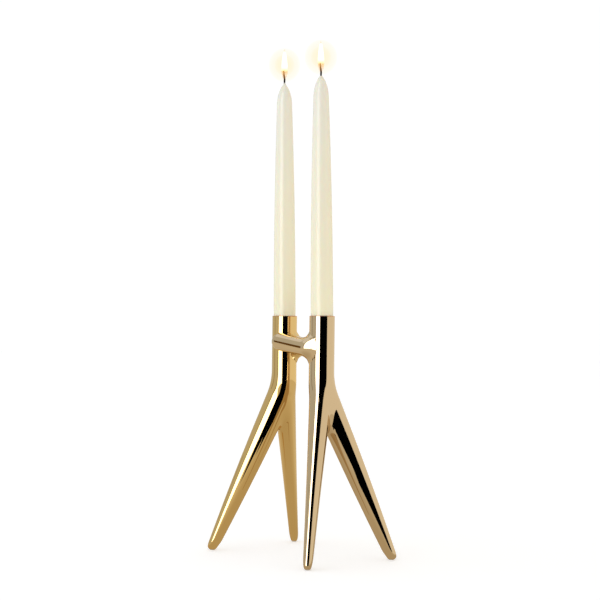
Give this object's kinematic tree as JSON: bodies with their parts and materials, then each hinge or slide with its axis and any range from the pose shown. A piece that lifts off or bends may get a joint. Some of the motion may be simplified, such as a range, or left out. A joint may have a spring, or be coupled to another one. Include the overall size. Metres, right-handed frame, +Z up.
{
  "type": "tabletop candelabra",
  "caption": "Tabletop candelabra: slim standing figures in polished gold and champagne metal, arms round each other, each holding a taper candle.",
  "frame": {"origin": "on the table, under the middle of the pair of figures", "axes": "+Z up; +Y from the right figure's torso to the left figure's; X from the front legs (-X) to the back legs (+X)"},
  "size_m": [0.1206, 0.1688, 0.5105],
  "materials": {
    "gold_metal": "mirror polished, gold plated",
    "champagne_metal": "mirror polished, champagne gold plated",
    "cup_brass": "polished rose brass",
    "dowel_steel": "ground",
    "screw_steel": "zinc plated",
    "pad_nylon": "moulded nylon, satin",
    "candle_wax": "smooth ivory wax, satin gloss",
    "wick_cotton": "braided cotton, burnt black at the top"
  },
  "bodies": {
    "root": {"left_front_half": "gold_metal", "left_back_half": "gold_metal", "left_hip_dowels": "dowel_steel", "left_arm": "gold_metal", "left_shoulder_screw": "screw_steel", "left_hand_screw": "screw_steel", "left_candle_cup": "cup_brass", "left_front_foot_pad": "pad_nylon", "left_back_foot_pad": "pad_nylon", "right_front_half": "champagne_metal", "right_back_half": "champagne_metal", "right_hip_dowels": "dowel_steel", "right_arm": "champagne_metal", "right_shoulder_screw": "screw_steel", "right_hand_screw": "screw_steel", "right_candle_cup": "cup_brass", "right_front_foot_pad": "pad_nylon", "right_back_foot_pad": "pad_nylon"},
    "left_candle": {"left_candle": "candle_wax", "left_wick": "wick_cotton"},
    "right_candle": {"right_candle": "candle_wax", "right_wick": "wick_cotton"}
  },
  "joints": [
    {"name": "left_candle_lift", "type": "slide", "parent": "root", "child": "left_candle", "axis": [0, 0, 1], "range_m": [0, 0.04]},
    {"name": "right_candle_lift", "type": "slide", "parent": "root", "child": "right_candle", "axis": [0, 0, 1], "range_m": [0, 0.04]}
  ]
}
